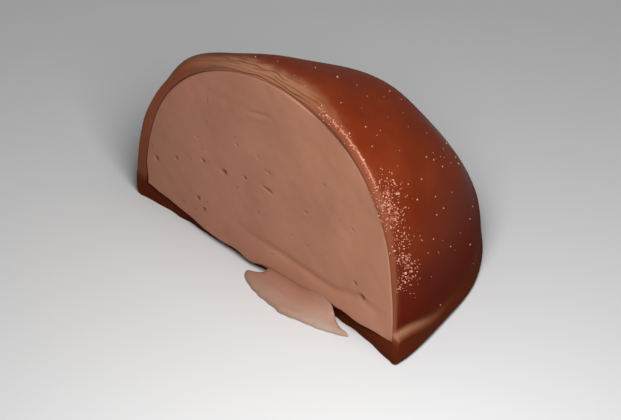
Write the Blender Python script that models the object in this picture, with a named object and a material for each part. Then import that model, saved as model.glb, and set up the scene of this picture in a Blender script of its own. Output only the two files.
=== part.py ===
"""Half of a cut chocolate mochi, standing on its flat underside.

Two solids: the dough skin, an open shell with a floor, and the mousse filling that it wraps.
X runs along the cut, Y from the cut into the dome, Z up. The origin is the middle of the underside.
"""

import math

import bmesh
import bpy
import numpy as np

MM = 0.001

# Driving dimensions of the half dome
HALF_WIDTH = 26.6 * MM       # half the width of the cut, above the foot
DEPTH = 31.6 * MM            # from the cut to the back
HEIGHT = 31.3 * MM           # at the cut
CUT_Y = -13.0 * MM           # where the cut stands, in front of the origin
CUT_LEAN = 0.02              # how far the cut leans back for each unit of height
TOP_SHIFT = 2.8 * MM         # the crown sits this far to the right of the middle
ARCH_POWER = 0.725           # below 1, the arch has steep sides and full shoulders
PLAN_POWER = 1.85            # 2 is an ellipse in plan
FALL_POWER = 1.72            # how soon the ridge falls away behind the cut
FALL_ROUND = 1.5             # how round the back is where it meets the plate

# The skin
SKIN_SIDE = 1.35 * MM        # thickness at the sides and the back
SKIN_TOP = 1.7 * MM          # thickness at the crown
FLOOR_MIDDLE = 0.8 * MM      # thickness of the floor in the middle
FLOOR_RISE = 1.6 * MM        # how much thicker it is at the sides
FLOOR_SETBACK = 0.9 * MM     # the floor ends this far behind the cut
RIM_LENGTH = 2.5 * MM        # how far back from the cut the rim is rounded over
RIM_DROP_SIDE = 0.7 * MM     # how far the rim is pressed in at the sides
RIM_DROP_TOP = 1.0 * MM      # the same at the crown
FOOT_BULGE = 0.85 * MM       # how far the foot stands out from the wall
FOOT_FRONT = 3.8 * MM        # height of the foot at the cut
FOOT_BACK = 2.3 * MM         # height of the foot at the back
FOOT_EDGE = 0.8 * MM         # radius under the foot
CORNER_OUT = 0.7 * MM        # the right corner of the foot is dragged out this far
CORNER_FORWARD = 0.9 * MM    # and this far forward of the cut
CORNER_REACH = 6.0 * MM      # how far the drag is felt from the corner
CORNER_HEIGHT = 2.6 * MM     # and how high up

# The filling
GAP = 0.3 * MM               # between the filling and the skin
FACE_ROUND = 0.5 * MM        # radius round the edge of the cut face
TONGUE_FROM = -3.0 * MM      # the smear that lies on the plate starts here
TONGUE_TO = 18.3 * MM        # and ends here
TONGUE_REACH = 4.5 * MM      # it comes this far out of the cut
TONGUE_ROOT = 2.6 * MM       # height at which it leaves the cut face
TONGUE_EDGE = 0.9 * MM       # thickness of its free edge
TONGUE_TAPER = 0.35          # share of the reach below which its section shrinks into the face
CLEAR_OF_PLATE = 0.08 * MM   # its underside stays this far above the resting plane
# The smear's section as shares of its reach and of its root's height: down from the face, out
# over the top, round the edge, back underneath and up to the wall
TONGUE_OUT = (0.0, 0.35, 0.75, 1.0, 1.03, 0.96, 0.0, 0.0)
TONGUE_UP = (1.0, 0.66, 0.45, TONGUE_EDGE / TONGUE_ROOT, 0.16, 0.0, 0.0, 0.0)
FACE_MIDDLE = np.array([TOP_SHIFT / 2.0, 0.0, HEIGHT * 0.42])

# How finely the surfaces are divided
ARCH_STEPS = 44
FLOOR_STEPS = 20
RIM_STEPS = 4
BACK_STEPS = 14
FACE_STEPS = 5
EDGE_STEPS = len(TONGUE_OUT) - 1
ARCH_CROWDING = 1.8          # above 1, points crowd towards the feet
BACK_CROWDING = 1.2          # above 1, slices crowd towards the back
FOOT_SHARPNESS = 6           # how sudden the step at the foot's crease is


def clear_scene():
    for item in list(bpy.data.objects):
        bpy.data.objects.remove(item, do_unlink=True)


def make_material(name, colour, roughness, coat):
    material = bpy.data.materials.new(name)
    material.use_nodes = True
    shader = material.node_tree.nodes["Principled BSDF"]
    shader.inputs["Base Color"].default_value = (*colour, 1.0)
    shader.inputs["Roughness"].default_value = roughness
    shader.inputs["Metallic"].default_value = 0.0
    shader.inputs["Coat Weight"].default_value = coat
    return material


def arch_angles():
    """Angles from the right foot over the crown to the left foot, crowded towards the feet."""
    share = np.linspace(-1.0, 1.0, ARCH_STEPS + 1)
    spread = 1.0 - (1.0 - np.abs(share)) ** ARCH_CROWDING
    return math.pi / 2 * (1.0 + np.sign(share) * spread)


def depth_shares():
    """Shares of the depth at which slices stand, crowded at the rim and at the back."""
    quarter = np.linspace(0.0, math.pi / 2, RIM_STEPS + 1)
    rim = RIM_LENGTH / DEPTH * (1.0 - np.cos(quarter))
    spread = 1.0 - (1.0 - np.linspace(0.0, 1.0, BACK_STEPS + 1)) ** BACK_CROWDING
    turn = math.pi / 2 * spread
    back = rim[-1] + (1.0 - rim[-1]) * np.sin(turn) ** (2.0 / FALL_POWER)
    return np.concatenate([rim, back[1:]])


def floor_height(x):
    """Thickness of the skin's floor, a shallow dish that is thinnest in the middle."""
    return FLOOR_MIDDLE + FLOOR_RISE * (x / HALF_WIDTH) ** 2


def slice_scales(share):
    """Width and height of the slice at a share of the depth, each against the cut's own."""
    width = (1.0 - share ** PLAN_POWER) ** (1.0 / PLAN_POWER)
    height = (1.0 - share ** FALL_POWER) ** (1.0 / FALL_ROUND)
    return width, height


def arch(angle, half_width, height):
    """One slice's arch: a superellipse whose crown is shifted sideways."""
    rise = np.sin(angle).clip(0.0) ** ARCH_POWER
    return half_width * np.cos(angle) + TOP_SHIFT * rise ** 2, height * rise


def foot_offset(height, share):
    """How far the wall stands out at a height: a bulge up to the foot's crease, rounded below."""
    crease = FOOT_FRONT + (FOOT_BACK - FOOT_FRONT) * share
    bulge = FOOT_BULGE / (1.0 + (height / crease) ** FOOT_SHARPNESS)
    under = np.clip(1.0 - height / FOOT_EDGE, 0.0, 1.0)
    return bulge - FOOT_EDGE * (1.0 - np.sqrt(1.0 - under ** 2))


def chord(start, end):
    """Points between two points, ends left out, as arrays of x, y and z."""
    share = np.linspace(0.0, 1.0, FLOOR_STEPS + 1)[1:-1, None]
    return start + (end - start) * share


def outer_ring(share):
    """The skin's outside at a share of the depth: the arch, then the underside."""
    angle = arch_angles()
    width, height = slice_scales(share)
    behind = np.clip(1.0 - share * DEPTH / RIM_LENGTH, 0.0, 1.0)
    pressed = 1.0 - math.sqrt(1.0 - behind ** 2)
    drop = (RIM_DROP_SIDE + (RIM_DROP_TOP - RIM_DROP_SIDE) * np.sin(angle)) * pressed
    x, z = arch(angle, HALF_WIDTH - drop, HEIGHT - drop)
    x, z = x * width, z * height
    y = np.full_like(x, share * DEPTH)
    out_x, out_y = x / HALF_WIDTH ** 2, y / DEPTH ** 2
    length = np.hypot(out_x, out_y) + 1e-9
    offset = foot_offset(z, share)
    points = np.stack([x + offset * out_x / length, y + offset * out_y / length, z], axis=1)
    return np.concatenate([points, chord(points[-1], points[0])])


def inner_ring(share, gap):
    """The pocket in the skin, or the filling's own wall when a gap is taken off it."""
    angle = arch_angles()
    width, height = slice_scales(share)
    x, rise = arch(angle, HALF_WIDTH - SKIN_SIDE - gap, 1.0)
    x = x * width
    low = floor_height(x) + gap
    z = low + (HEIGHT - SKIN_TOP - gap - low) * rise * height
    y = np.full_like(x, share * (DEPTH - SKIN_SIDE - gap))
    points = np.stack([x, y, z], axis=1)
    below = chord(points[-1], points[0])
    below[:, 2] = floor_height(below[:, 0]) + gap
    return np.concatenate([points, below])


def lean(points):
    """Leans the points back with the cut and sets the cut in its place."""
    placed = points.copy()
    placed[:, 1] += CUT_Y + CUT_LEAN * points[:, 2]
    return placed


def drag_corner(points):
    """Drags the foot's right front corner out and forward, fading with distance and height."""
    across = (points[:, 0] - HALF_WIDTH) / CORNER_REACH
    along = points[:, 1] / CORNER_REACH
    low = 1.0 / (1.0 + (points[:, 2] / CORNER_HEIGHT) ** 4)
    pull = np.exp(-across ** 2 - along ** 2) * low
    dragged = points.copy()
    dragged[:, 0] += CORNER_OUT * pull
    dragged[:, 1] -= CORNER_FORWARD * pull
    return dragged


def along_floor():
    """Share of the way along the floor for each point of a ring, 0 all over the arch."""
    return np.concatenate([np.zeros(ARCH_STEPS + 1), np.linspace(0.0, 1.0, FLOOR_STEPS + 1)[1:-1]])


def set_back(ring, depth):
    """Moves the floor's end behind the cut, the arch's end staying where it is."""
    moved = ring.copy()
    moved[:, 1] += depth * np.sin(math.pi * along_floor()) ** 0.5
    return moved


def set_back_slices(rings, depth):
    """Sets the first slices' floors back, less and less until the rim's length is passed."""
    fade = np.clip(1.0 - np.arange(len(rings)) / (RIM_STEPS + 1), 0.0, 1.0)
    return [set_back(ring, depth * part) for ring, part in zip(rings, fade)]


def skin_rings():
    """Rings from the back of the outside, round the rim, to the back of the pocket."""
    shares = depth_shares()[:-1]
    outside = set_back_slices([outer_ring(share) for share in shares], FLOOR_SETBACK)
    pocket = set_back_slices([inner_ring(share, 0.0) for share in shares], FLOOR_SETBACK)
    return [lean(drag_corner(ring)) for ring in outside[::-1] + pocket]


def tongue_reach(x):
    """How far the smear comes out of the cut at x: a low arc, nothing outside its ends."""
    share = np.clip((x - TONGUE_FROM) / (TONGUE_TO - TONGUE_FROM), 0.0, 1.0)
    return TONGUE_REACH * np.sin(math.pi * share) ** 0.6


def edge_rings(wall):
    """Rings that carry the cut face over its edge into the wall, and the smear out to its tip.

    On the arch they follow a quarter round. On the floor they go down from the face, out along
    the top of the smear, round its edge, back under it to the floor's end and up to the wall.
    """
    inward = FACE_MIDDLE - wall
    inward[:, 1] = 0.0
    inward /= np.linalg.norm(inward, axis=1, keepdims=True)
    on_floor = along_floor() > 0.0
    reach = tongue_reach(wall[:, 0]) * on_floor
    smeared = np.clip(reach / (TONGUE_TAPER * TONGUE_REACH), 0.0, 1.0)[:, None]
    back = FLOOR_SETBACK * 0.5 * np.sin(math.pi * along_floor()) ** 0.5
    depth = np.where(on_floor, back, FACE_ROUND)
    rings = []
    for step, (out, up) in enumerate(zip(TONGUE_OUT, TONGUE_UP)):
        turn = math.pi / 2 * step / EDGE_STEPS
        rounded = wall + inward * FACE_ROUND * (1.0 - math.sin(turn))
        rounded[:, 1] = depth * (1.0 - math.cos(turn))
        smear = wall.copy()
        smear[:, 1] = -reach * out
        if step > 0 and out == 0.0:
            smear[:, 1] = back
        if step < EDGE_STEPS:
            smear[:, 2] = CLEAR_OF_PLATE + (TONGUE_ROOT - CLEAR_OF_PLATE) * up
        rings.append(rounded + (smear - rounded) * smeared)
    return rings


def filling_rings():
    """Rings from the middle of the cut face out to its edge, then back along the wall."""
    shares = depth_shares()[:-1]
    walls = [inner_ring(share, GAP) for share in shares]
    edge = edge_rings(walls[0])
    face = [FACE_MIDDLE + (edge[0] - FACE_MIDDLE) * step / FACE_STEPS for step in range(1, FACE_STEPS)]
    walls = set_back_slices(walls, FLOOR_SETBACK * 0.5)
    deep_enough = [wall for wall, share in zip(walls, shares) if share * DEPTH > 2.0 * FACE_ROUND]
    return [lean(ring) for ring in face + edge + deep_enough]


def solid_from_rings(name, rings, first_pole, last_pole, material):
    """Joins rings of equal length into one closed body, with a fan of triangles at each end."""
    mesh = bmesh.new()
    columns = [[mesh.verts.new(point) for point in ring] for ring in rings]
    count = len(columns[0])
    for near, far in zip(columns[:-1], columns[1:]):
        for i in range(count):
            j = (i + 1) % count
            mesh.faces.new((near[i], near[j], far[j], far[i]))
    for ring, tip in ((columns[0], first_pole), (columns[-1], last_pole)):
        centre = mesh.verts.new(tip)
        for i in range(count):
            mesh.faces.new((ring[(i + 1) % count], ring[i], centre))
    bmesh.ops.triangulate(mesh, faces=list(mesh.faces))
    bmesh.ops.recalc_face_normals(mesh, faces=list(mesh.faces))
    data = bpy.data.meshes.new(name)
    mesh.to_mesh(data)
    mesh.free()
    data.shade_smooth()
    data.set_sharp_from_angle(angle=math.radians(40.0))
    data.materials.append(material)
    body = bpy.data.objects.new(name, data)
    bpy.context.scene.collection.objects.link(body)
    return body


def back_pole(depth, height):
    """The point at the back, on the plate or on the floor, where the slices shrink away."""
    return lean(np.array([[0.0, depth, height]]))[0]


def build_skin():
    dough = make_material("cocoa_dough", (0.20, 0.042, 0.013), 0.3, 0.4)
    rings = skin_rings()
    outside = back_pole(DEPTH + foot_offset(0.0, 1.0), 0.0)
    pocket = back_pole(DEPTH - SKIN_SIDE, floor_height(0.0))
    return solid_from_rings("mochi_skin", rings, outside, pocket, dough)


def build_filling():
    mousse = make_material("milk_chocolate_mousse", (0.36, 0.17, 0.115), 0.65, 0.0)
    rings = filling_rings()
    face = rings[0].mean(axis=0)
    back = back_pole(DEPTH - SKIN_SIDE - GAP, floor_height(0.0) + GAP)
    return solid_from_rings("mousse_filling", rings, face, back, mousse)


clear_scene()
build_skin()
build_filling()
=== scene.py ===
import math

import bpy
import numpy as np
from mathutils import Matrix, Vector


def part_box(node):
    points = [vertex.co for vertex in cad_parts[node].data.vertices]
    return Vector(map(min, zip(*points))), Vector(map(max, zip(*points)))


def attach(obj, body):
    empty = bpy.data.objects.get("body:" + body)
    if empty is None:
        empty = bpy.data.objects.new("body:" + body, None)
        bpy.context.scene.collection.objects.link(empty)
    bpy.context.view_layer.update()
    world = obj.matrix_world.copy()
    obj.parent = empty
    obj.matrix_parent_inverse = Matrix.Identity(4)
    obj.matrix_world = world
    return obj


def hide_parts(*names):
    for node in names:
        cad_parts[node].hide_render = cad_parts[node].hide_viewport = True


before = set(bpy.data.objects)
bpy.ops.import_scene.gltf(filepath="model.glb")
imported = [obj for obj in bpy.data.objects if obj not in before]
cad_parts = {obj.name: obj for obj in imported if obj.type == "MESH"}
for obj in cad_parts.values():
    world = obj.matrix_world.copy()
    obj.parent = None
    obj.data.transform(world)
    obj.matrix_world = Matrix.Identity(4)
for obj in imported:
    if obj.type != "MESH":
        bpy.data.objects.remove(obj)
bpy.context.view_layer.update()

MM = 0.001  # metres in a millimetre

# ---------------------------------------------------------------------------------------------
# Camera. A long lens looks down on the half sweet from the front right, so that the cut face and
# the right flank of the dough both show.
# ---------------------------------------------------------------------------------------------
camera_azimuth = math.radians(49.6)
camera_elevation = math.radians(33.0)
camera_distance = 0.98
camera_lens = 428.0
camera_target = Vector((0.5 * MM, -5.2 * MM, 7.2 * MM))

camera = bpy.data.objects.new("camera", bpy.data.cameras.new("camera"))
bpy.context.scene.collection.objects.link(camera)
toward_camera = Vector((
    math.sin(camera_azimuth) * math.cos(camera_elevation),
    -math.cos(camera_azimuth) * math.cos(camera_elevation),
    math.sin(camera_elevation),
))
camera.location = camera_target + toward_camera * camera_distance
camera.rotation_mode = "QUATERNION"
camera.rotation_quaternion = toward_camera.to_track_quat("Z", "Y")
camera.data.lens = camera_lens
camera.data.sensor_width = 36.0
camera.data.clip_start = 0.01
camera.data.clip_end = 20.0
bpy.context.scene.camera = camera


# ---------------------------------------------------------------------------------------------
# Dough skin. Steamed rice dough with cocoa, rolled thin and wrapped round the filling. The knife
# has pressed it over into a rounded rim, and its floor spreads into a flat foot on the plate.
# ---------------------------------------------------------------------------------------------
skin_low, skin_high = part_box("mochi_skin")
foot_bulge = 0.85 * MM
corner_forward = 0.9 * MM
corner_out = 0.7 * MM
corner_reach = 6.0 * MM
corner_height = 2.6 * MM
half_width = -skin_low.x - foot_bulge
crown_rise = 0.2 * MM
height = skin_high.z + crown_rise
cut_y = skin_low.y + corner_forward
depth = skin_high.y - cut_y - foot_bulge
cut_lean = 0.035
crown_shift = 3.0 * MM
arch_power, plan_power, fall_power, fall_round = 0.72, 1.78, 1.66, 1.6
skin_right, skin_left, skin_top = 1.05 * MM, 1.75 * MM, 1.7 * MM
floor_middle, floor_rise = 0.8 * MM, 1.5 * MM
thin_low_right = 0.45 * MM
arch_columns, floor_columns = 440, 56


def smooth_step(value, start, end):
    """0 before start, 1 after end, and a cubic ease between them."""
    share = np.clip((value - start) / (end - start), 0.0, 1.0)
    return share * share * (3.0 - 2.0 * share)


def bell(value, middle, reach, power=2):
    """One at the middle and falling on both sides as a Gaussian, squarer for a higher power."""
    return np.exp(-np.abs((value - middle) / reach) ** power)


def ripple(points, wavelength, seed, waves=24):
    """Unevenness of about one unit: plane waves of nearly one length, each in its own direction
    and phase, added up and divided by the root of half their number."""
    rng = np.random.default_rng(seed)
    directions = rng.normal(size=(waves, 3))
    directions /= np.linalg.norm(directions, axis=1, keepdims=True)
    lengths = wavelength * rng.uniform(0.75, 1.35, waves)
    phases = rng.uniform(0.0, 2.0 * math.pi, waves)
    total = np.zeros(points.shape[:-1])
    for direction, length, phase in zip(directions, lengths, phases):
        total += np.cos(2.0 * math.pi * (points @ direction) / length + phase)
    return total / math.sqrt(waves / 2.0)


def outward_normals(rows):
    """Unit normals of a grid: the cross product of its differences round the ring and along it."""
    round_ring = np.roll(rows, -1, axis=1) - np.roll(rows, 1, axis=1)
    along = np.gradient(rows, axis=0)
    normal = np.cross(round_ring, along)
    return normal / np.maximum(np.linalg.norm(normal, axis=2, keepdims=True), 1e-12)


def closed_grid(name, rows, first_pole, last_pole, **attributes):
    """A closed body from rings of points: a quad between each two neighbours on neighbouring
    rings, and a fan of triangles to a pole beyond the first and the last ring."""
    count, around = rows.shape[:2]
    points = np.concatenate([rows.reshape(-1, 3), [first_pole], [last_pole]])
    index = np.arange(count * around).reshape(count, around)
    beside = np.roll(index, -1, axis=1)
    quads = np.stack([index[:-1], beside[:-1], beside[1:], index[1:]], axis=-1).reshape(-1, 4)
    first, last = count * around, count * around + 1
    fan_first = np.stack([beside[0], index[0], np.full(around, first)], axis=-1)
    fan_last = np.stack([index[-1], beside[-1], np.full(around, last)], axis=-1)
    triangles = np.concatenate([fan_first, fan_last])
    halves = np.concatenate([quads[:, [0, 1, 2]], quads[:, [0, 2, 3]], triangles])
    a, b, c = (points[halves[:, k]] for k in range(3))
    if np.einsum("ij,ij->", a, np.cross(b, c)) < 0.0:
        quads, triangles = quads[:, ::-1], triangles[:, ::-1]
    corners = np.concatenate([quads.ravel(), triangles.ravel()]).astype(np.int32)
    starts = np.concatenate([
        np.arange(len(quads)) * 4,
        len(quads) * 4 + np.arange(len(triangles)) * 3,
    ]).astype(np.int32)
    mesh = bpy.data.meshes.new(name)
    mesh.vertices.add(len(points))
    mesh.vertices.foreach_set("co", points.astype(np.float32).ravel())
    mesh.loops.add(len(corners))
    mesh.loops.foreach_set("vertex_index", corners)
    mesh.polygons.add(len(starts))
    mesh.polygons.foreach_set("loop_start", starts)
    for label, values in attributes.items():
        layer = mesh.attributes.new(label, "FLOAT", "POINT")
        padded = np.concatenate([values.ravel(), [values[0].mean(), values[-1].mean()]])
        layer.data.foreach_set("value", padded.astype(np.float32))
    mesh.update(calc_edges=True)
    mesh.validate()
    mesh.shade_smooth()
    body = bpy.data.objects.new(name, mesh)
    bpy.context.scene.collection.objects.link(body)
    return body


def arch(angle, width, rise):
    """The cut's outline: a superellipse whose crown is shifted sideways."""
    lift = np.sin(angle).clip(0.0) ** arch_power
    return width * np.cos(angle) + crown_shift * lift ** 2, rise * lift


def slice_scales(share):
    """Width and height of a slice at a share of the depth, each against the cut's own."""
    wide = (1.0 - share ** plan_power).clip(0.0) ** (1.0 / plan_power)
    tall = (1.0 - share ** fall_power).clip(0.0) ** (1.0 / fall_round)
    return wide, tall


def floor_height(x):
    """Thickness of the dough under the filling: thin in the middle, eased up towards each side."""
    return floor_middle + floor_rise * smooth_step(np.abs(x), 7.0 * MM, 20.0 * MM)


def inner_width(angle):
    """Half width of the pocket: the dough is thicker on the left than on the right, and thins
    out towards the right foot."""
    leftness = smooth_step(angle, math.radians(60.0), math.radians(120.0))
    low_right = thin_low_right * (1.0 - smooth_step(angle, 0.0, math.radians(14.0)))
    return half_width - skin_right - (skin_left - skin_right) * leftness + low_right


def level_with(angle, base):
    """The pocket's angle beside each of the outline's angles: its height is the fourth root of
    the fourth powers' sum of the outline's height and the base's, scaled to meet at the crown."""
    rise = height * np.sin(angle).clip(0.0) ** arch_power
    top = (height ** 4 + base ** 4) ** 0.25
    lift = ((rise ** 4 + base ** 4) ** 0.25 - base) / (top - base)
    level = np.arcsin(np.clip(lift, 0.0, 1.0) ** (1.0 / arch_power))
    return np.where(angle > math.pi / 2, math.pi - level, level)


def arch_angles():
    """Angles from the right foot over the crown to the left foot, crowded towards the feet."""
    share = np.linspace(-1.0, 1.0, arch_columns + 1)
    spread = 1.0 - (1.0 - np.abs(share)) ** 1.5
    return math.pi / 2 * (1.0 + np.sign(share) * spread)


def with_floor(arch_rows, columns):
    """Closes each arch with straight points from its last to its first."""
    share = np.linspace(0.0, 1.0, columns + 1)[1:-1][None, :, None]
    last, first = arch_rows[:, -1:, :], arch_rows[:, :1, :]
    return np.concatenate([arch_rows, last + (first - last) * share], axis=1)


def set_in_place(points):
    """Leans the body back with its cut and moves the cut to its place in the frame."""
    placed = points.copy()
    placed[..., 1] += cut_y + cut_lean * points[..., 2]
    return placed


def drag_corner(points):
    """The foot's right front corner, dragged out and forward, fading with distance and height."""
    across = (points[..., 0] - half_width) / corner_reach
    along = points[..., 1] / corner_reach
    low = 1.0 / (1.0 + (points[..., 2] / corner_height) ** 4)
    pull = np.exp(-across ** 2 - along ** 2) * low
    dragged = points.copy()
    dragged[..., 0] += corner_out * pull
    dragged[..., 1] -= corner_forward * pull
    return dragged


foot_front, foot_middle, foot_back = 3.6 * MM, 2.2 * MM, 1.2 * MM
bulge_back, bulge_left, bulge_fade = 0.6, 0.20, 9.0 * MM
crease_soft, crease_softer = 0.55 * MM, 0.7 * MM
foot_edge = 0.8 * MM
lip_stand, lip_width, lip_below, lip_fade = 0.07 * MM, 0.45 * MM, 0.2 * MM, 6.0 * MM


def foot_crease(y):
    """Height of the foot's upper edge, tallest at the cut and lower further back."""
    near = foot_middle + (foot_front - foot_middle) * (1.0 - smooth_step(y, 2.0 * MM, 10.0 * MM))
    return near + (foot_back - foot_middle) * smooth_step(y, 10.0 * MM, 22.0 * MM)


def foot_offset(x, z, y):
    """How far the wall stands out: a flare up to the crease, stronger on the right and softer
    further back, a low lip along the crease near the cut, and a quarter round underneath."""
    crease = foot_crease(y)
    fade = bulge_back + (1.0 - bulge_back) * bell(y, 0.0, bulge_fade)
    soft = crease_soft + crease_softer * smooth_step(y, 3.0 * MM, 12.0 * MM)
    bulge = fade * foot_bulge * (1.0 - smooth_step(z, crease - soft, crease + soft))
    bulge = bulge * (bulge_left + (1.0 - bulge_left) * smooth_step(x, -10.0 * MM, 10.0 * MM))
    lip = lip_stand * bell(z, crease - lip_below, lip_width) * bell(y, 0.0, lip_fade)
    lip = lip * smooth_step(x, 0.0, 8.0 * MM)
    under = np.clip(1.0 - z / foot_edge, 0.0, 1.0)
    return bulge + lip - foot_edge * (1.0 - np.sqrt(1.0 - under ** 2))


back_rows, rim_rows, face_rows, pocket_rows = 116, 42, 9, 14
angle = arch_angles()[None, :]

# The rim is short and tight at the right foot, long over the crown and flatter on the left.
rim_wide = smooth_step(angle, math.radians(56.0), math.radians(84.0))
rim_wide = rim_wide * (1.0 - 0.45 * smooth_step(angle, math.radians(110.0), math.radians(150.0)))
rim_length = (0.7 + 2.1 * rim_wide) * MM
rim_flat = smooth_step(angle, math.radians(105.0), math.radians(130.0))
low_rim = 1.0 - smooth_step(angle, math.radians(10.0), math.radians(24.0))
rim_drop = (0.55 - 0.35 * low_rim + 0.75 * rim_wide) * MM * (1.0 - 0.7 * rim_flat)

# The outside runs from the back to the rim: shares of the depth behind the rim's end.
turn = np.linspace(0.0, math.pi / 2, back_rows + 1)[1:, None]
behind_rim = np.sin(turn)[::-1][1:] ** (2.0 / fall_power)
behind_y = rim_length + (depth - rim_length) * behind_rim
bend = np.linspace(0.0, math.pi / 2, rim_rows)[:, None]
rim_y = rim_length * (1.0 - np.sin(bend))
inset_y = np.concatenate([behind_y, rim_y])
inset = np.concatenate([0.0 * behind_y, rim_drop * (1.0 - np.cos(bend))])

wide, tall = slice_scales(inset_y / depth)
x, z = arch(angle, half_width - inset, height - inset)
x, z = x * wide, z * tall
out_x, out_y = x / half_width ** 2, inset_y / depth ** 2
out_length = np.hypot(out_x, out_y) + 1e-9
stand_out = foot_offset(x, z, inset_y)
outside_x = x + stand_out * out_x / out_length
outside_y = inset_y + stand_out * out_y / out_length
outside = np.stack([outside_x, outside_y, z], axis=-1)
outside = with_floor(outside, floor_columns)

# The pocket that holds the filling, from the cut to the back. Its mouth lies a little behind the
# cut, so that the cut end of the dough is slightly crowned.
cut_set_back = 0.12 * MM
pocket_turn = np.linspace(0.0, math.pi / 2, pocket_rows + 1)[:-1, None]
pocket_share = np.sin(pocket_turn) ** (2.0 / fall_power)
pocket_wide, pocket_tall = slice_scales(pocket_share)
pocket_angle = level_with(angle, floor_middle + floor_rise)
pocket_x, lift = arch(pocket_angle, inner_width(pocket_angle), 1.0)
pocket_x = pocket_x * pocket_wide
pocket_floor = floor_height(pocket_x)
pocket_z = pocket_floor + (height - skin_top - pocket_floor) * lift * pocket_tall
pocket_y = pocket_share * (depth - skin_left) + cut_set_back + 0.0 * angle
pocket = with_floor(np.stack([pocket_x, pocket_y, pocket_z], axis=-1), floor_columns)
pocket[:, arch_columns + 1:, 2] = floor_height(pocket[:, arch_columns + 1:, 0])

# The cut end of the dough, straight across from the rim's edge to the pocket's mouth.
end_share = np.linspace(0.0, 1.0, face_rows + 2)[1:-1, None, None]
cut_end = outside[-1:] + (pocket[:1] - outside[-1:]) * end_share
cut_end[..., 1] = cut_set_back * end_share[..., 0] ** 4

skin_rows = np.concatenate([outside, cut_end, pocket])
row_number = np.arange(len(skin_rows))[:, None]
around = np.concatenate([np.zeros(arch_columns + 1), np.linspace(0.0, 1.0, floor_columns + 1)[1:-1]])
floor_mask = np.sin(math.pi * around) ** 0.5

# The floor's end lies behind the cut, unevenly, and the slices next to it follow.
near_cut = bell(skin_rows[..., 1], 0.0, 2.0 * MM)
ragged = 0.9 * MM + 0.09 * MM * ripple(skin_rows, 3.0 * MM, 11)
skin_rows[..., 1] += ragged * floor_mask * near_cut

# Hand-made unevenness along the normal, none of it underneath or in the pocket: height,
# wavelength and seed of each ripple.
normals = outward_normals(skin_rows)
exterior = 1.0 - smooth_step(row_number, back_rows + rim_rows - 6, back_rows + rim_rows + face_rows)
above_plate = smooth_step(skin_rows[..., 2], 0.0, 2.0 * MM)
for swell, wavelength, seed in ((0.16, 16.0, 3), (0.014, 4.5, 4), (0.002, 0.9, 5)):
    unevenness = swell * MM * ripple(skin_rows, wavelength * MM, seed)
    skin_rows += normals * (exterior * above_plate * unevenness)[..., None]

# Swells and flat spots that the hands left: place from the cut's middle, reach and height.
hand_marks = (
    (-17.3, 2.4, 23.9, 6.0, 0.55), (-7.0, 8.0, 28.0, 6.5, -0.45), (2.5, 20.0, 21.5, 8.0, 0.45),
    (12.5, 26.5, 3.0, 8.0, 0.40), (19.0, 19.5, 3.0, 6.0, 0.30), (25.0, 9.5, 1.0, 8.0, -0.50),
    (-17.0, 3.0, 25.0, 3.5, 0.30), (-20.6, 0.8, 21.4, 3.2, -0.35), (-24.5, 1.0, 13.5, 5.0, 0.35),
)
for *mark_place, mark_reach, mark_height in hand_marks:
    away = np.linalg.norm(skin_rows - np.array(mark_place) * MM, axis=2) / (mark_reach * MM)
    skin_rows += normals * (exterior * mark_height * MM * np.exp(-away ** 2))[..., None]
skin_rows[..., 2] = np.maximum(skin_rows[..., 2], 0.0)

# Fine cracks that the knife left along the folded rim: place across the band, width, strength,
# length of the dashes and seed. The first one follows the filling's edge.
band = np.clip((row_number - back_rows + 1) / (rim_rows + face_rows), 0.0, 1.0)
full_angle = np.degrees(np.concatenate([angle[0], np.zeros(floor_columns - 1)]))[None, :]
crown_side = smooth_step(full_angle, 60.0, 80.0) * (1.0 - 0.85 * smooth_step(full_angle, 112.0, 140.0))
wobble = 0.035 * ripple(skin_rows * [1.0, 0.0, 1.0], 9.0 * MM, 20)
cracks = 0.0 * band * full_angle
rim_cracks = (
    (0.88, 0.050, 0.85, 14.0, 21), (0.66, 0.030, 0.90, 9.0, 22), (0.50, 0.030, 0.60, 4.5, 23),
    (0.36, 0.026, 0.80, 9.0, 24), (0.22, 0.024, 0.50, 6.0, 26),
)
for place, crack_width, strength, dash_length, seed in rim_cracks:
    own_wobble = wobble + 0.020 * ripple(skin_rows * [1.0, 0.0, 1.0], 3.0 * MM, seed + 50)
    dash = smooth_step(ripple(skin_rows * [1.0, 0.0, 1.0], dash_length * MM, seed), -1.6, 0.6)
    cracks = np.maximum(cracks, strength * dash * bell(band + own_wobble, place, crack_width))
cracks = cracks * crown_side
crack_depth, crest_height = 0.13 * MM, 0.05 * MM
skin_rows -= normals * (cracks * crack_depth)[..., None]

# The fold's crest on the right: a narrow pale line high up, a painted highlight, and below it
# two patches of grains, sugar and painted speckled highlight both, that spread over the flank.
behind_cut, above = skin_rows[..., 1], skin_rows[..., 2]
crest = bell(behind_cut, 0.32 * MM, 0.26 * MM) * smooth_step(full_angle, 36.0, 46.0)
crest *= (1.0 - smooth_step(full_angle, 66.0, 80.0)) * exterior
patches = bell(above, 21.0 * MM, 3.4 * MM, 4) + 0.9 * bell(above, 12.6 * MM, 3.0 * MM, 4)
patches += 0.5 * bell(above, 16.5 * MM, 1.6 * MM)
patch_middle = (1.6 + 1.2 * (1.0 - smooth_step(above, 13.0 * MM, 20.0 * MM))) * MM
patch_drift = 0.35 * MM * ripple(skin_rows, 4.0 * MM, 28)
spread_out = patches * bell(behind_cut + patch_drift, patch_middle, 2.0 * MM, 3) * exterior
spread_out *= (full_angle < 90.0) * (full_angle > 0.0)
stray = 0.42 * smooth_step(behind_cut, 2.0 * MM, 4.0 * MM) * np.exp(-behind_cut / (9.0 * MM))
stray *= smooth_step(skin_rows[..., 0], 8.0 * MM, 14.0 * MM) * exterior
stray *= smooth_step(above, 5.0 * MM, 9.0 * MM)
# Painted highlight: the pale crest line, and in part the patches, stand for light caught on the fold, mixed
# with sugar.
frost = np.maximum(np.maximum(0.80 * crest, 0.66 * spread_out), stray)
skin_rows += normals * (crest * crest_height)[..., None]
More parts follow.
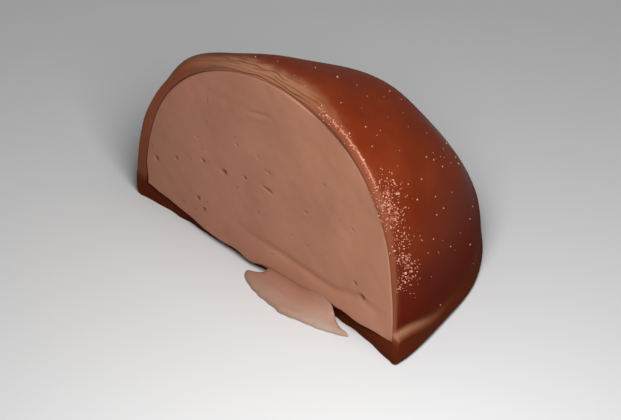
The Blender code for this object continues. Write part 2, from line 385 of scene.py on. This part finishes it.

# Tints: the rim with a ragged edge, kept off the left as painted shade, tan over its fold on the
# crown, and a painted highlight along the foot's crease.
skin_rows = set_in_place(drag_corner(skin_rows))
ragged_edge = 1.2 * ripple(skin_rows, 2.2 * MM, 27)
on_rim = smooth_step(row_number + ragged_edge, back_rows - 6, back_rows + 9) * (full_angle > 0.0)
on_rim = on_rim * smooth_step(skin_rows[..., 2], 2.2 * MM, 4.2 * MM)
# Painted shade: the rim's brown fades out on the left, so the rim there keeps the darker body colour.
rim_tint = on_rim * (1.0 - 0.9 * smooth_step(full_angle, 122.0, 142.0))
fold_edge = 0.22 + 0.045 * ripple(skin_rows, 2.4 * MM, 25)
crown_part = smooth_step(full_angle, 64.0, 96.0) * (1.0 - 0.70 * smooth_step(full_angle, 112.0, 136.0))
tan_tint = smooth_step(band, fold_edge - 0.16, fold_edge + 0.16) * on_rim * crown_part
from_cut = skin_rows[..., 1] - cut_y
# Painted highlight: a tan line along the foot's crease, where its lip catches the light.
crease_painted_highlight = bell(skin_rows[..., 2], foot_crease(from_cut) + 0.1 * MM, 0.40 * MM)
crease_painted_highlight *= bell(from_cut, 0.0, 7.0 * MM) * smooth_step(skin_rows[..., 0], 0.0, 5.0 * MM)
back_point = np.array([0.0, cut_y + depth + foot_bulge - foot_edge, 0.0])
pocket_point = np.array([0.0, cut_y + depth - skin_left, floor_height(0.0)])
skin = closed_grid(
    "dough_skin", skin_rows, back_point, pocket_point,
    rim=rim_tint, tan=tan_tint, crack=cracks, frost=frost, crease=crease_painted_highlight,
)


def socket_value(node, name, value):
    """Sets an input of a node by its name."""
    node.inputs[name].default_value = value


def new_material(name):
    """A node material, with its node tree, its shader and the piece's own coordinates."""
    material = bpy.data.materials.new(name)
    material.use_nodes = True
    tree = material.node_tree
    place = tree.nodes.new("ShaderNodeTexCoord").outputs["Object"]
    return material, tree, tree.nodes["Principled BSDF"], place


def noise(tree, vector, scale, detail):
    """Noise on the given coordinates."""
    texture = tree.nodes.new("ShaderNodeTexNoise")
    socket_value(texture, "Scale", scale)
    socket_value(texture, "Detail", detail)
    tree.links.new(vector, texture.inputs["Vector"])
    return texture.outputs["Fac"]


def attribute(tree, name):
    """A value stored on the mesh."""
    node = tree.nodes.new("ShaderNodeAttribute")
    node.attribute_name = name
    return node.outputs["Fac"]


def remap(tree, value, low, high, new_low, new_high):
    """An eased change of range."""
    node = tree.nodes.new("ShaderNodeMapRange")
    node.interpolation_type = "SMOOTHSTEP"
    socket_value(node, "From Min", low)
    socket_value(node, "From Max", high)
    socket_value(node, "To Min", new_low)
    socket_value(node, "To Max", new_high)
    tree.links.new(value, node.inputs["Value"])
    return node.outputs["Result"]


def arithmetic(tree, operation, *terms):
    """A sum, a product or both: each term is another node's output or a number."""
    node = tree.nodes.new("ShaderNodeMath")
    node.operation = operation
    for term, socket in zip(terms, node.inputs):
        if isinstance(term, float):
            socket.default_value = term
        else:
            tree.links.new(term, socket)
    return node.outputs["Value"]


def two_tones(tree, value, first_place, first_colour, last_place, last_colour):
    """A colour that runs from the first to the last as the value goes between their places."""
    ramp = tree.nodes.new("ShaderNodeValToRGB")
    first, last = ramp.color_ramp.elements
    first.position, first.color = first_place, (*first_colour, 1.0)
    last.position, last.color = last_place, (*last_colour, 1.0)
    tree.links.new(value, ramp.inputs["Fac"])
    return ramp.outputs["Color"]


def tinted(tree, base, share, colour):
    """A colour laid over another by a share."""
    mix = tree.nodes.new("ShaderNodeMix")
    mix.data_type = "RGBA"
    tree.links.new(base, mix.inputs["A"])
    mix.inputs["B"].default_value = (*colour, 1.0)
    tree.links.new(share, mix.inputs["Factor"])
    return mix.outputs["Result"]


def bump(tree, height_value, strength, distance, under=None):
    """Fine relief from a value, laid over other relief if there is some."""
    node = tree.nodes.new("ShaderNodeBump")
    socket_value(node, "Strength", strength)
    socket_value(node, "Distance", distance)
    tree.links.new(height_value, node.inputs["Height"])
    if under is not None:
        tree.links.new(under, node.inputs["Normal"])
    return node.outputs["Normal"]


def dough_material():
    """Moist cocoa dough: red brown with soft mottling, a deeper red painted towards the plate as shade,
    and brown on the foot. Its cut rim is brown on the right and tan over the crown, with cracks
    painted dark as the shade in them. Frost, sugar mixed with painted highlight, breaks up into grains."""
    material, tree, shader, place = new_material("cocoa_dough")
    up = tree.nodes.new("ShaderNodeSeparateXYZ")
    tree.links.new(place, up.inputs["Vector"])
    above_table = up.outputs["Z"]

    mottle = noise(tree, place, 140.0, 3.0)
    body = two_tones(tree, mottle, 0.3, (0.132, 0.0168, 0.0040), 0.72, (0.180, 0.0280, 0.0072))
    # Painted shade: the dough is darkened to a deep red towards the plate, standing in for shade low down.
    painted_shade_near_plate = remap(tree, above_table, 0.001, 0.021, 0.72, 0.0)
    on_foot = remap(tree, above_table, 0.0026, 0.0055, 1.0, 0.0)
    painted_shade_red, foot_brown = (0.058, 0.0003, 0.0001), (0.080, 0.0128, 0.0031)
    rim_brown, fold_tan = (0.190, 0.054, 0.025), (0.302, 0.134, 0.073)
    crack_shade_brown, crease_highlight_tan = (0.110, 0.034, 0.015), (0.285, 0.132, 0.072)
    sugar_and_highlight_pink = (0.420, 0.150, 0.090)
    colour = tinted(tree, body, painted_shade_near_plate, painted_shade_red)
    colour = tinted(tree, colour, on_foot, foot_brown)
    colour = tinted(tree, colour, attribute(tree, "rim"), rim_brown)
    colour = tinted(tree, colour, attribute(tree, "tan"), fold_tan)
    # Painted shade: the cracks are tinted dark, as the shade in them, besides being cut into the surface.
    colour = tinted(tree, colour, attribute(tree, "crack"), crack_shade_brown)
    # Painted highlight along the foot's crease.
    colour = tinted(tree, colour, attribute(tree, "crease"), crease_highlight_tan)
    grains = arithmetic(tree, "MULTIPLY_ADD", noise(tree, place, 2100.0, 1.0), 1.3, 0.35)
    frosted = arithmetic(tree, "MULTIPLY", grains, attribute(tree, "frost"))
    speckle_and_highlight = remap(tree, frosted, 0.60, 0.78, 0.0, 1.0)
    # Pale speckles: sugar, and a painted highlight on the right rim.
    colour = tinted(tree, colour, speckle_and_highlight, sugar_and_highlight_pink)
    tree.links.new(colour, shader.inputs["Base Color"])

    grain_relief = bump(tree, noise(tree, place, 1500.0, 2.0), 0.35, 0.05 * MM)
    speckle_relief = bump(tree, speckle_and_highlight, 0.6, 0.08 * MM, grain_relief)
    tree.links.new(speckle_relief, shader.inputs["Normal"])

    # Duller towards the plate.
    gloss = remap(tree, mottle, 0.3, 0.7, 0.36, 0.48)
    duller = remap(tree, above_table, 0.003, 0.018, 0.35, 0.0)
    tree.links.new(arithmetic(tree, "ADD", gloss, duller), shader.inputs["Roughness"])
    socket_value(shader, "IOR", 1.42)
    socket_value(shader, "Specular IOR Level", 0.045)
    socket_value(shader, "Subsurface Weight", 0.25)
    socket_value(shader, "Subsurface Radius", (1.0, 0.35, 0.15))
    socket_value(shader, "Subsurface Scale", 0.0012)
    return material


skin.data.materials.append(dough_material())
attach(skin, "root")
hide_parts("mochi_skin")


# ---------------------------------------------------------------------------------------------
# Sugar grains. Fine powdered sugar that fell on the dough and half dissolved in its moisture. It
# clings in two patches beside the rim on the right, along the fold, and here and there elsewhere.
# ---------------------------------------------------------------------------------------------
grain_rng = np.random.default_rng(61)
grain_count, grain_radius, grain_spread = 640, 0.082 * MM, 0.30
grain_sunk = 0.30


def icosahedron():
    """Twelve corners: the even turns of (0, 1, golden ratio) with both signs, and the twenty
    triangles whose corners lie one edge apart, each turned outwards."""
    golden = (1.0 + math.sqrt(5.0)) / 2.0
    signs = np.array([(a, b) for a in (-1.0, 1.0) for b in (-golden, golden)])
    flat = np.column_stack([np.zeros(4), signs])
    corners = np.concatenate([flat, np.roll(flat, 1, axis=1), np.roll(flat, 2, axis=1)])
    apart = np.linalg.norm(corners[:, None] - corners[None], axis=2)
    near = np.abs(apart - 2.0) < 1e-6
    a, b, c = np.nonzero(near[:, :, None] & near[None] & near[:, None, :])
    once = (a < b) & (b < c)
    triangles = np.stack([a, b, c], axis=1)[once]
    p, q, r = (corners[triangles[:, k]] for k in range(3))
    inward = np.einsum("ij,ij->i", np.cross(q - p, r - p), p) < 0.0
    triangles[inward] = triangles[inward][:, ::-1]
    return corners / math.sqrt(1.0 + golden ** 2), triangles


def random_turns(count):
    """Rotation matrices from random unit quaternions."""
    w, x, y, z = grain_rng.normal(size=(count, 4)).T
    length = np.sqrt(w * w + x * x + y * y + z * z)
    w, x, y, z = w / length, x / length, y / length, z / length
    rows = [
        [1 - 2 * (y * y + z * z), 2 * (x * y - w * z), 2 * (x * z + w * y)],
        [2 * (x * y + w * z), 1 - 2 * (x * x + z * z), 2 * (y * z - w * x)],
        [2 * (x * z - w * y), 2 * (y * z + w * x), 1 - 2 * (x * x + y * y)],
    ]
    return np.moveaxis(np.array(rows), -1, 0)


# Where grains lie: chances on the dough's grid, by patch, times the area of each of its cells.
down_rows = np.roll(skin_rows, -1, axis=0) - skin_rows
round_ring = np.roll(skin_rows, -1, axis=1) - skin_rows
cell_area = np.linalg.norm(np.cross(down_rows, round_ring), axis=2)
outer = (row_number < back_rows + rim_rows - 4) & (full_angle > 0.0) & (row_number > 2)
everywhere = 0.0035 * smooth_step(above, 1.0 * MM, 3.0 * MM) + 0.03 * crease_painted_highlight
chance = (spread_out ** 1.3 + 1.3 * crest + 0.07 * stray + everywhere) * cell_area * outer
spot = grain_rng.choice(chance.size, grain_count, p=(chance / chance.sum()).ravel())
spot_row, spot_column = np.unravel_index(spot, chance.shape)
slide = grain_rng.random((2, grain_count, 1))
grain_place = skin_rows[spot_row, spot_column]
grain_place = grain_place + slide[0] * down_rows[spot_row, spot_column]
grain_place = grain_place + slide[1] * round_ring[spot_row, spot_column]
grain_out = outward_normals(skin_rows)[spot_row, spot_column]
if np.einsum("ij,ij->", grain_out, grain_place - [0.0, 0.0, 10.0 * MM]) < 0.0:
    grain_out = -grain_out
size = grain_radius * np.exp(grain_spread * grain_rng.normal(size=(grain_count, 1)))
stretch = grain_rng.uniform(0.65, 1.25, (grain_count, 3))
ball_corners, ball_faces = icosahedron()
grain_corners = (size * stretch)[:, None, :] * ball_corners[None]
grain_corners = np.einsum("nij,nkj->nki", random_turns(grain_count), grain_corners)
grain_corners += (grain_place + grain_out * size * (1.0 - 2.0 * grain_sunk))[:, None, :]
grain_faces = ball_faces[None] + (np.arange(grain_count) * len(ball_corners))[:, None, None]
grain_mesh = bpy.data.meshes.new("sugar_grains")
grain_mesh.from_pydata(grain_corners.reshape(-1, 3), [], grain_faces.reshape(-1, 3))
grain_mesh.update()
sugar_grains = bpy.data.objects.new("sugar_grains", grain_mesh)
bpy.context.scene.collection.objects.link(sugar_grains)

moist_sugar, sugar_tree, sugar_shader, sugar_place = new_material("moist_sugar")
sugar_tone = noise(sugar_tree, sugar_place, 900.0, 2.0)
sugar_colour = two_tones(sugar_tree, sugar_tone, 0.35, (0.36, 0.130, 0.080), 0.68, (0.62, 0.33, 0.245))
sugar_tree.links.new(sugar_colour, sugar_shader.inputs["Base Color"])
socket_value(sugar_shader, "Roughness", 0.45)
socket_value(sugar_shader, "Specular IOR Level", 0.2)
sugar_grains.data.materials.append(moist_sugar)
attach(sugar_grains, "root")


# ---------------------------------------------------------------------------------------------
# Mousse filling. Firm milk chocolate mousse that fills the pocket in the dough. The knife left
# its face matte and nearly flat, with pits where bubbles were, a drag mark and a soft lower lip.
# ---------------------------------------------------------------------------------------------
crevice = 0.04 * MM
edge_round = 0.3 * MM
face_ring_count, edge_ring_count, wall_ring_count = 104, 10, 12
filling_columns = 170
face_middle = np.array([crown_shift / 2.0, 0.0, height * 0.42])


def lip_height(x):
    """Height of the face's lower edge: just off the plate in the middle, eased up to each side,
    with small tears."""
    line = np.stack([x, 0.0 * x, 0.0 * x], axis=-1)
    sides = 1.25 * smooth_step(-x, 10.0 * MM, 21.0 * MM)
    sides = sides + 1.55 * smooth_step(x, -4.0 * MM, 14.0 * MM)
    return (0.78 + sides + 0.11 * ripple(line, 4.2 * MM, 31)) * MM


filling_x, lift = arch(angle, inner_width(angle) - crevice, 1.0)
filling_low = lip_height(filling_x)
filling_z = filling_low + (height - skin_top - crevice - filling_low) * lift
edge_arch = np.stack([filling_x, 0.0 * filling_x, filling_z], axis=-1)
edge_loop = with_floor(edge_arch, filling_columns)[0]
loop_floor = np.concatenate([np.zeros(arch_columns + 1), np.linspace(0.0, 1.0, filling_columns + 1)[1:-1]])
floor_part = smooth_step(loop_floor, 0.0, 0.12) * (1.0 - smooth_step(loop_floor, 0.88, 1.0))
on_floor = loop_floor > 0.0
edge_loop[on_floor, 2] = lip_height(edge_loop[on_floor, 0])

# Its lower left corner is pulled in and up, so that it comes out round.
left_corner_height, left_corner_reach, corner_pull = 2.6 * MM, 2.2 * MM, 0.5 * MM
to_corner = np.hypot(edge_loop[:, 0] + inner_width(math.pi), edge_loop[:, 2] - left_corner_height)
left_corner = bell(to_corner, 0.0, left_corner_reach)
edge_loop[:, 0] += corner_pull * left_corner
edge_loop[:, 2] += corner_pull * left_corner

spread = 1.0 - (1.0 - np.linspace(0.0, 1.0, face_ring_count + 1)[1:]) ** 1.25
inward = face_middle - edge_loop
inward /= np.linalg.norm(inward, axis=1, keepdims=True)
rounding = edge_round * (1.0 + floor_part)[:, None]
face_edge = edge_loop + inward * rounding
face_rings = face_middle + (face_edge - face_middle) * spread[:, None, None]
quarter = np.linspace(0.0, math.pi / 2, edge_ring_count + 1)[1:, None, None]
edge_rings = edge_loop + inward * rounding * (1.0 - np.sin(quarter))
edge_rings[..., 1] = rounding[:, 0] * (1.0 - np.cos(quarter[..., 0])) * (1.0 - 0.3 * floor_part)

# The wall behind the face follows the pocket at a hair's breadth. Under the face its lower lip
# hangs in front of the dough's floor, so the wall there starts with a step up onto the floor.
undercut = 0.45 * MM
wall_turn = np.linspace(0.0, math.pi / 2, wall_ring_count + 1)[1:-1, None]
wall_share = np.concatenate([[[0.0]], np.sin(wall_turn) ** (2.0 / fall_power)])
wall_wide, wall_tall = slice_scales(wall_share)
wall_x = filling_x * wall_wide
wall_floor = floor_height(wall_x) + crevice
wall_z = wall_floor + (height - skin_top - crevice - wall_floor) * lift * wall_tall
wall_y = undercut + wall_share * (depth - skin_left - crevice - undercut) + 0.0 * angle
wall_rings = with_floor(np.stack([wall_x, wall_y, wall_z], axis=-1), filling_columns)
wall_rings[:, on_floor, 2] = floor_height(wall_rings[:, on_floor, 0]) + crevice

filling_rows = np.concatenate([face_rings, edge_rings, wall_rings])
ring_number = np.arange(len(filling_rows))[:, None]
on_face = 1.0 - smooth_step(ring_number, face_ring_count + 1, face_ring_count + edge_ring_count)
face_x, face_z = filling_rows[..., 0], filling_rows[..., 2]

# Relief of the face, as depth into the body: soft waves, a groove above the lower lip, which is
# pushed forward, a faint streak that ends in a short drag mark, and the pits of bubbles.
groove_deep, lip_out = 0.13 * MM, 0.22 * MM
streak_deep, drag_deep, drag_ridge = 0.05 * MM, 0.13 * MM, 0.07 * MM
relief = 0.07 * MM * ripple(filling_rows, 13.0 * MM, 32)
relief += 0.010 * MM * ripple(filling_rows, 2.4 * MM, 33)
groove_wave = 0.25 * ripple(filling_rows * [1.0, 0.0, 0.0], 11.0 * MM, 34)
groove_line = (5.0 + groove_wave + 1.1 * bell(face_x, 19.0 * MM, 3.6 * MM)) * MM
groove_reach = smooth_step(face_x, -9.0 * MM, -1.0 * MM)
groove_reach = groove_reach * (1.0 - smooth_step(face_x, 21.0 * MM, 24.5 * MM))
relief += groove_deep * groove_reach * bell(face_z, groove_line, 0.60 * MM)
relief -= lip_out * groove_reach * (1.0 - smooth_step(face_z, groove_line - 3.0 * MM, groove_line))
streak_line = 23.3 * MM - ((face_x + 5.0 * MM) / (6.8 * MM)) ** 2 * MM
streak_span = smooth_step(face_x, -17.0 * MM, -13.0 * MM)
streak_span = streak_span * (1.0 - smooth_step(face_x, -6.0 * MM, -4.5 * MM))
relief += streak_deep * streak_span * bell(face_z, streak_line, 0.55 * MM)
along_drag = face_x + 1.8 * MM
above_drag = face_z - 24.0 * MM - 0.30 * along_drag
drag_span = 1.0 - smooth_step(np.abs(along_drag), 1.5 * MM, 2.8 * MM)
relief += drag_deep * drag_span * bell(above_drag, 0.0, 0.26 * MM)
relief -= drag_ridge * drag_span * bell(above_drag, -0.75 * MM, 0.4 * MM)

# Pits: place on the face, half width and half height. Upright slits are shallow and faint, and
# the other pits are painted darker, as the shade in them, the taller they are.
pit_places = (
    (-22.4, 7.4, 0.30, 0.30), (-18.3, 9.4, 0.22, 0.20), (-12.8, 11.6, 0.28, 0.26), (-8.6, 11.8, 0.40, 0.34),
    (-4.4, 12.9, 0.26, 0.22), (0.4, 13.4, 1.00, 0.20), (0.3, 16.1, 0.90, 0.13), (8.1, 13.6, 0.22, 0.20),
    (-13.8, 5.2, 0.26, 0.30), (-12.5, 4.1, 0.24, 0.28), (18.3, 7.7, 0.26, 0.24), (19.7, 6.2, 0.46, 0.38),
    (17.4, 15.5, 0.20, 0.16), (-12.4, 21.1, 0.16, 0.60), (-6.1, 17.2, 0.18, 0.16), (11.5, 19.5, 0.15, 0.14),
)
small_pit_count, slit_shape, full_dark = 26, 2.5, 0.3
pit_rng = np.random.default_rng(35)
small_pits = np.stack([
    pit_rng.normal(-6.0, 10.0, small_pit_count), pit_rng.normal(10.5, 4.5, small_pit_count),
    pit_rng.uniform(0.09, 0.17, small_pit_count), pit_rng.uniform(0.08, 0.14, small_pit_count),
], axis=1)
pit_shade = 0.0 * face_x
for pit_x, pit_z, pit_wide, pit_tall in np.concatenate([np.array(pit_places), small_pits]):
    across = (face_x - pit_x * MM) / (pit_wide * MM)
    upright = (face_z - pit_z * MM) / (pit_tall * MM)
    dip = np.exp(-np.hypot(across, upright) ** 2.6)
    is_slit = pit_tall >= slit_shape * pit_wide
    relief += (0.4 if is_slit else 1.3) * min(pit_wide, pit_tall) * MM * dip
    pit_shade = np.maximum(pit_shade, dip * min(1.0, 0.25 if is_slit else pit_tall / full_dark))
filling_rows[..., 1] += relief * on_face
filling_rows = set_in_place(filling_rows)
face_point = set_in_place(face_middle + [0.0, relief[0].mean(), 0.0])
wall_point = np.array([0.0, cut_y + depth - skin_left - crevice, floor_height(0.0) + crevice])
from_edge = np.clip((face_ring_count + edge_ring_count - ring_number) / 10.0, 0.0, 1.0)
pale_edge = 0.22 * (1.0 - from_edge) * smooth_step(face_x, 6.0 * MM, 16.0 * MM)
filling = closed_grid(
    "mousse_filling_cut", filling_rows, face_point, wall_point, pale=pale_edge, pit=pit_shade * on_face,
)


def mousse_material():
    """Set chocolate mousse: milky brown, nearly matte, faintly streaked by the knife, and paler
    and drier where it is smeared thin. Pits and the smear's left part are painted darker as shade."""
    material, tree, shader, place = new_material("milk_chocolate_mousse")
    cloud = noise(tree, place, 110.0, 4.0)
    body = two_tones(tree, cloud, 0.3, (0.338, 0.145, 0.088), 0.7, (0.396, 0.176, 0.109))
    dry_beige, pit_brown = (0.37, 0.262, 0.205), (0.150, 0.058, 0.036)
    colour = tinted(tree, body, attribute(tree, "pale"), dry_beige)
    # Painted shade: pits on the face and the smear's left part are darkened.
    colour = tinted(tree, colour, attribute(tree, "pit"), pit_brown)
    tree.links.new(colour, shader.inputs["Base Color"])

    streak_place = tree.nodes.new("ShaderNodeMapping")
    socket_value(streak_place, "Rotation", (0.0, math.radians(-24.0), 0.0))
    socket_value(streak_place, "Scale", (90.0, 300.0, 900.0))
    tree.links.new(place, streak_place.inputs["Vector"])
    streaks = noise(tree, streak_place.outputs["Vector"], 1.0, 3.0)
    streak_relief = bump(tree, streaks, 0.25, 0.1 * MM)
    grain_relief = bump(tree, noise(tree, place, 1900.0, 3.0), 0.4, 0.05 * MM, streak_relief)
    tree.links.new(grain_relief, shader.inputs["Normal"])
    socket_value(shader, "Roughness", 0.62)
    socket_value(shader, "Specular IOR Level", 0.18)
    socket_value(shader, "Subsurface Weight", 0.3)
    socket_value(shader, "Subsurface Radius", (1.0, 0.6, 0.45))
    socket_value(shader, "Subsurface Scale", 0.0009)
    return material


mousse = mousse_material()
filling.data.materials.append(mousse)
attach(filling, "root")
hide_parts("mousse_filling")


# ---------------------------------------------------------------------------------------------
# Smear. A tongue of mousse that the knife pulled out under the face. It lies flat on the plate,
# tucked under the face's lip, and its right end is free, with a dark crack behind it.
# ---------------------------------------------------------------------------------------------
smear_from, smear_to = -2.1 * MM, 18.5 * MM
smear_reach = 4.15 * MM
smear_front, smear_back = 1.35 * MM, 0.75 * MM
smear_tuck = 0.35 * MM
smear_edge, smear_cap = 0.85 * MM, 1.0 * MM
fillet_start, fillet_end, fillet_top = -1.5 * MM, -0.06 * MM, 0.55 * MM
smear_base, least_reach, tip_rise = 0.06 * MM, 0.02 * MM, 0.01 * MM
edge_rounding = 0.8 * MM
smear_rows, smear_over, smear_under = 170, 72, 24

share = (1.0 - np.cos(np.linspace(0.0, math.pi, smear_rows + 2)[1:-1, None])) / 2.0
smear_x = smear_from + (smear_to - smear_from) * share
joined = smooth_step(smear_x, -1.6 * MM, 1.8 * MM) * (1.0 - smooth_step(smear_x, 12.6 * MM, 17.4 * MM))
smear_line = np.concatenate([smear_x, 0.0 * smear_x, 0.0 * smear_x], axis=1)
uneven = ripple(smear_line, 5.0 * MM, 41)[:, None]
taper = 0.55 + 0.45 * smooth_step(share, 0.4, 0.8)
front_y = -smear_front - (smear_reach - smear_front) * np.sin(math.pi * share) ** taper
torn = ripple(smear_line, 1.5 * MM, 44)[:, None]
front_y += (0.12 * uneven + 0.045 * torn) * MM * np.sin(math.pi * share)
back_y = -smear_back + (smear_back + smear_tuck) * joined

# Both ends are rounded off in plan, as half ellipses.
to_end = np.minimum(smear_x - smear_from, smear_to - smear_x)
cap = np.sqrt(1.0 - (1.0 - np.clip(to_end / smear_cap, 0.0, 1.0)) ** 2)
middle_y = (front_y + back_y) / 2.0
front_y, back_y = middle_y + (front_y - middle_y) * cap, middle_y + (back_y - middle_y) * cap
reach = np.maximum(back_y - front_y, least_reach)

# The section's top, from the back to the front edge: a fillet that climbs the face where the
# two are joined, a flat tongue, and round edges where they are free.
inwards = (1.0 + np.cos(np.linspace(0.0, math.pi, smear_over)[None, :])) / 2.0
edge_share = np.clip(edge_rounding / reach, 0.05, 0.5)
front_round = np.sqrt(1.0 - (1.0 - np.clip(inwards / edge_share, 0.0, 1.0)) ** 2)
back_round = np.sqrt(1.0 - (1.0 - np.clip((1.0 - inwards) / edge_share, 0.0, 1.0)) ** 2)
back_round = back_round + (1.0 - back_round) * joined
thick = smear_edge * (0.40 + 0.60 * np.sin(math.pi * share) ** 0.6)
over_y = front_y + reach * inwards
fillet_share = np.clip((over_y - fillet_start) / (fillet_end - fillet_start), 0.0, 1.0)
fillet = 1.0 - np.sqrt(1.0 - fillet_share ** 2)
climb = (lip_height(smear_x) + fillet_top - smear_base - thick) * joined ** 2
tongue = thick * (0.85 + 0.15 * inwards) + climb * fillet
over_z = smear_base + tongue * front_round * back_round * cap
under_share = np.linspace(0.0, 1.0, smear_under + 2)[None, 1:-1]
under_y = over_y[:, -1:] + (over_y[:, :1] - over_y[:, -1:]) * under_share
smear_points = np.stack([
    np.concatenate([smear_x + 0.0 * over_y, smear_x + 0.0 * under_y], axis=1),
    np.concatenate([over_y, under_y], axis=1),
    np.concatenate([over_z, smear_base + 0.0 * under_y], axis=1),
], axis=-1)
top_side = smooth_step(smear_points[..., 2], 0.3 * MM, 0.8 * MM)
smear_points[..., 2] += top_side * 0.05 * MM * ripple(smear_points * [0.4, 1.0, 0.0], 3.0 * MM, 42)
smear_points[..., 2] += top_side * 0.010 * MM * ripple(smear_points, 1.3 * MM, 43)
smear_points = set_in_place(smear_points)
left_tip = np.array([smear_from, cut_y + middle_y[0, 0], smear_base + tip_rise])
right_tip = np.array([smear_to, cut_y + middle_y[-1, 0], smear_base + tip_rise])
toward_front = 1.0 - smooth_step(smear_points[..., 1] - cut_y, -2.6 * MM, -0.3 * MM)
thin_pale = 0.05 + 0.52 * toward_front + 0.43 * smooth_step(smear_points[..., 0], 8.0 * MM, 15.0 * MM)
# Painted shade: the smear is darkened on its left part, standing in for the shade there.
smear_painted_shade = 0.16 + 0.20 * (1.0 - smooth_step(smear_points[..., 0], -2.0 * MM, 7.0 * MM))
smear_painted_shade = smear_painted_shade * (1.0 - smooth_step(smear_points[..., 0], 9.0 * MM, 15.0 * MM))
smear = closed_grid("mousse_smear", smear_points, left_tip, right_tip, pale=thin_pale, pit=smear_painted_shade)
smear.data.materials.append(mousse)
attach(smear, "root")
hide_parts("mousse_filling")


# ---------------------------------------------------------------------------------------------
# Floor and light. A plain pale table, a broad soft light overhead, a small soft one before the
# cut on the right, and an even white surrounding.
# ---------------------------------------------------------------------------------------------
floor_size = 6.0
floor_mesh = bpy.data.meshes.new("table_top")
half = floor_size / 2.0
floor_mesh.from_pydata(
    [(-half, -half, 0.0), (half, -half, 0.0), (half, half, 0.0), (-half, half, 0.0)], [], [(0, 1, 2, 3)]
)
floor = bpy.data.objects.new("table_top", floor_mesh)
bpy.context.scene.collection.objects.link(floor)
paper = bpy.data.materials.new("pale_table")
paper.use_nodes = True
paper_shader = paper.node_tree.nodes["Principled BSDF"]
socket_value(paper_shader, "Base Color", (0.58, 0.58, 0.58, 1.0))
socket_value(paper_shader, "Roughness", 0.9)
socket_value(paper_shader, "Specular IOR Level", 0.0)
floor_mesh.materials.append(paper)


def soft_light(name, aim, azimuth, elevation, distance, size, power):
    """A square lamp at a bearing and height round the place it faces, hidden from the camera."""
    data = bpy.data.lights.new(name, "AREA")
    data.shape = "SQUARE"
    data.size = size
    data.energy = power
    lamp = bpy.data.objects.new(name, data)
    bpy.context.scene.collection.objects.link(lamp)
    a, e = math.radians(azimuth), math.radians(elevation)
    away = Vector((math.sin(a) * math.cos(e), -math.cos(a) * math.cos(e), math.sin(e)))
    lamp.location = aim + away * distance
    lamp.visible_camera = False
    lamp.rotation_mode = "QUATERNION"
    lamp.rotation_quaternion = away.to_track_quat("Z", "Y")


soft_light(
    "overhead", camera_target, azimuth=95.0, elevation=60.0, distance=0.9, size=0.5, power=1.5,
)
right_of_cut = Vector((18.0 * MM, -12.0 * MM, 20.0 * MM))
soft_light(
    "near_softbox", right_of_cut, azimuth=50.0, elevation=50.0, distance=0.10, size=0.05, power=0.16,
)

world = bpy.data.worlds.new("studio")
world.use_nodes = True
surroundings = world.node_tree.nodes["Background"]
socket_value(surroundings, "Color", (1.0, 1.0, 1.0, 1.0))
socket_value(surroundings, "Strength", 0.20)
bpy.context.scene.world = world
bpy.context.scene.view_settings.view_transform = "Standard"
